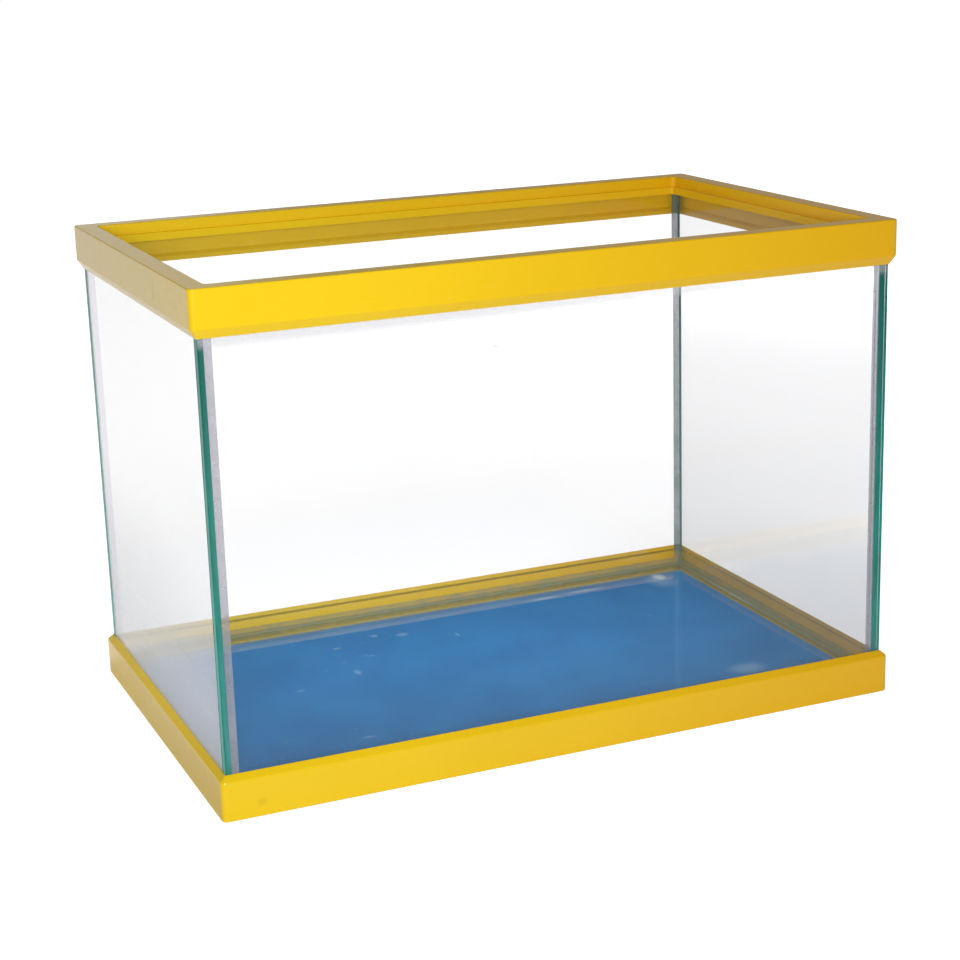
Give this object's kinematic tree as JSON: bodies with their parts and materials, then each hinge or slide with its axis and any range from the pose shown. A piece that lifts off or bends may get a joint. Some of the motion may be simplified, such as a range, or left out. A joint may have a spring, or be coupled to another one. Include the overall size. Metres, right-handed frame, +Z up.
{
  "type": "framed glass tank",
  "caption": "Open rectangular glass tank with silicone-bonded panes, moulded plastic rim and base frames and a blue sheet under its clear floor.",
  "frame": {"origin": "centre of the base, on the surface that the tank stands on", "axes": "+X along the front from left to right, +Y from the front to the back, +Z up"},
  "size_m": [0.4, 0.246, 0.275],
  "materials": {
    "yellow_plastic": "satin moulded plastic, warm yellow",
    "clear_glass": "clear float glass with green ground edges",
    "clear_silicone": "translucent tooled silicone",
    "blue_plastic": "smooth blue sheet"
  },
  "bodies": {
    "root": {"top_frame": "yellow_plastic", "bottom_frame": "yellow_plastic", "front_pane": "clear_glass", "back_pane": "clear_glass", "left_pane": "clear_glass", "right_pane": "clear_glass", "base_pane": "clear_glass", "blue_base_sheet": "blue_plastic", "corner_seal_front_left": "clear_silicone", "corner_seal_front_right": "clear_silicone", "corner_seal_back_left": "clear_silicone", "corner_seal_back_right": "clear_silicone", "base_seal_front": "clear_silicone", "base_seal_back": "clear_silicone", "base_seal_left": "clear_silicone", "base_seal_right": "clear_silicone", "top_bedding_front": "clear_silicone", "top_bedding_back": "clear_silicone", "top_bedding_left": "clear_silicone", "top_bedding_right": "clear_silicone", "bottom_bedding_front": "clear_silicone", "bottom_bedding_back": "clear_silicone", "bottom_bedding_left": "clear_silicone", "bottom_bedding_right": "clear_silicone"}
  },
  "joints": []
}
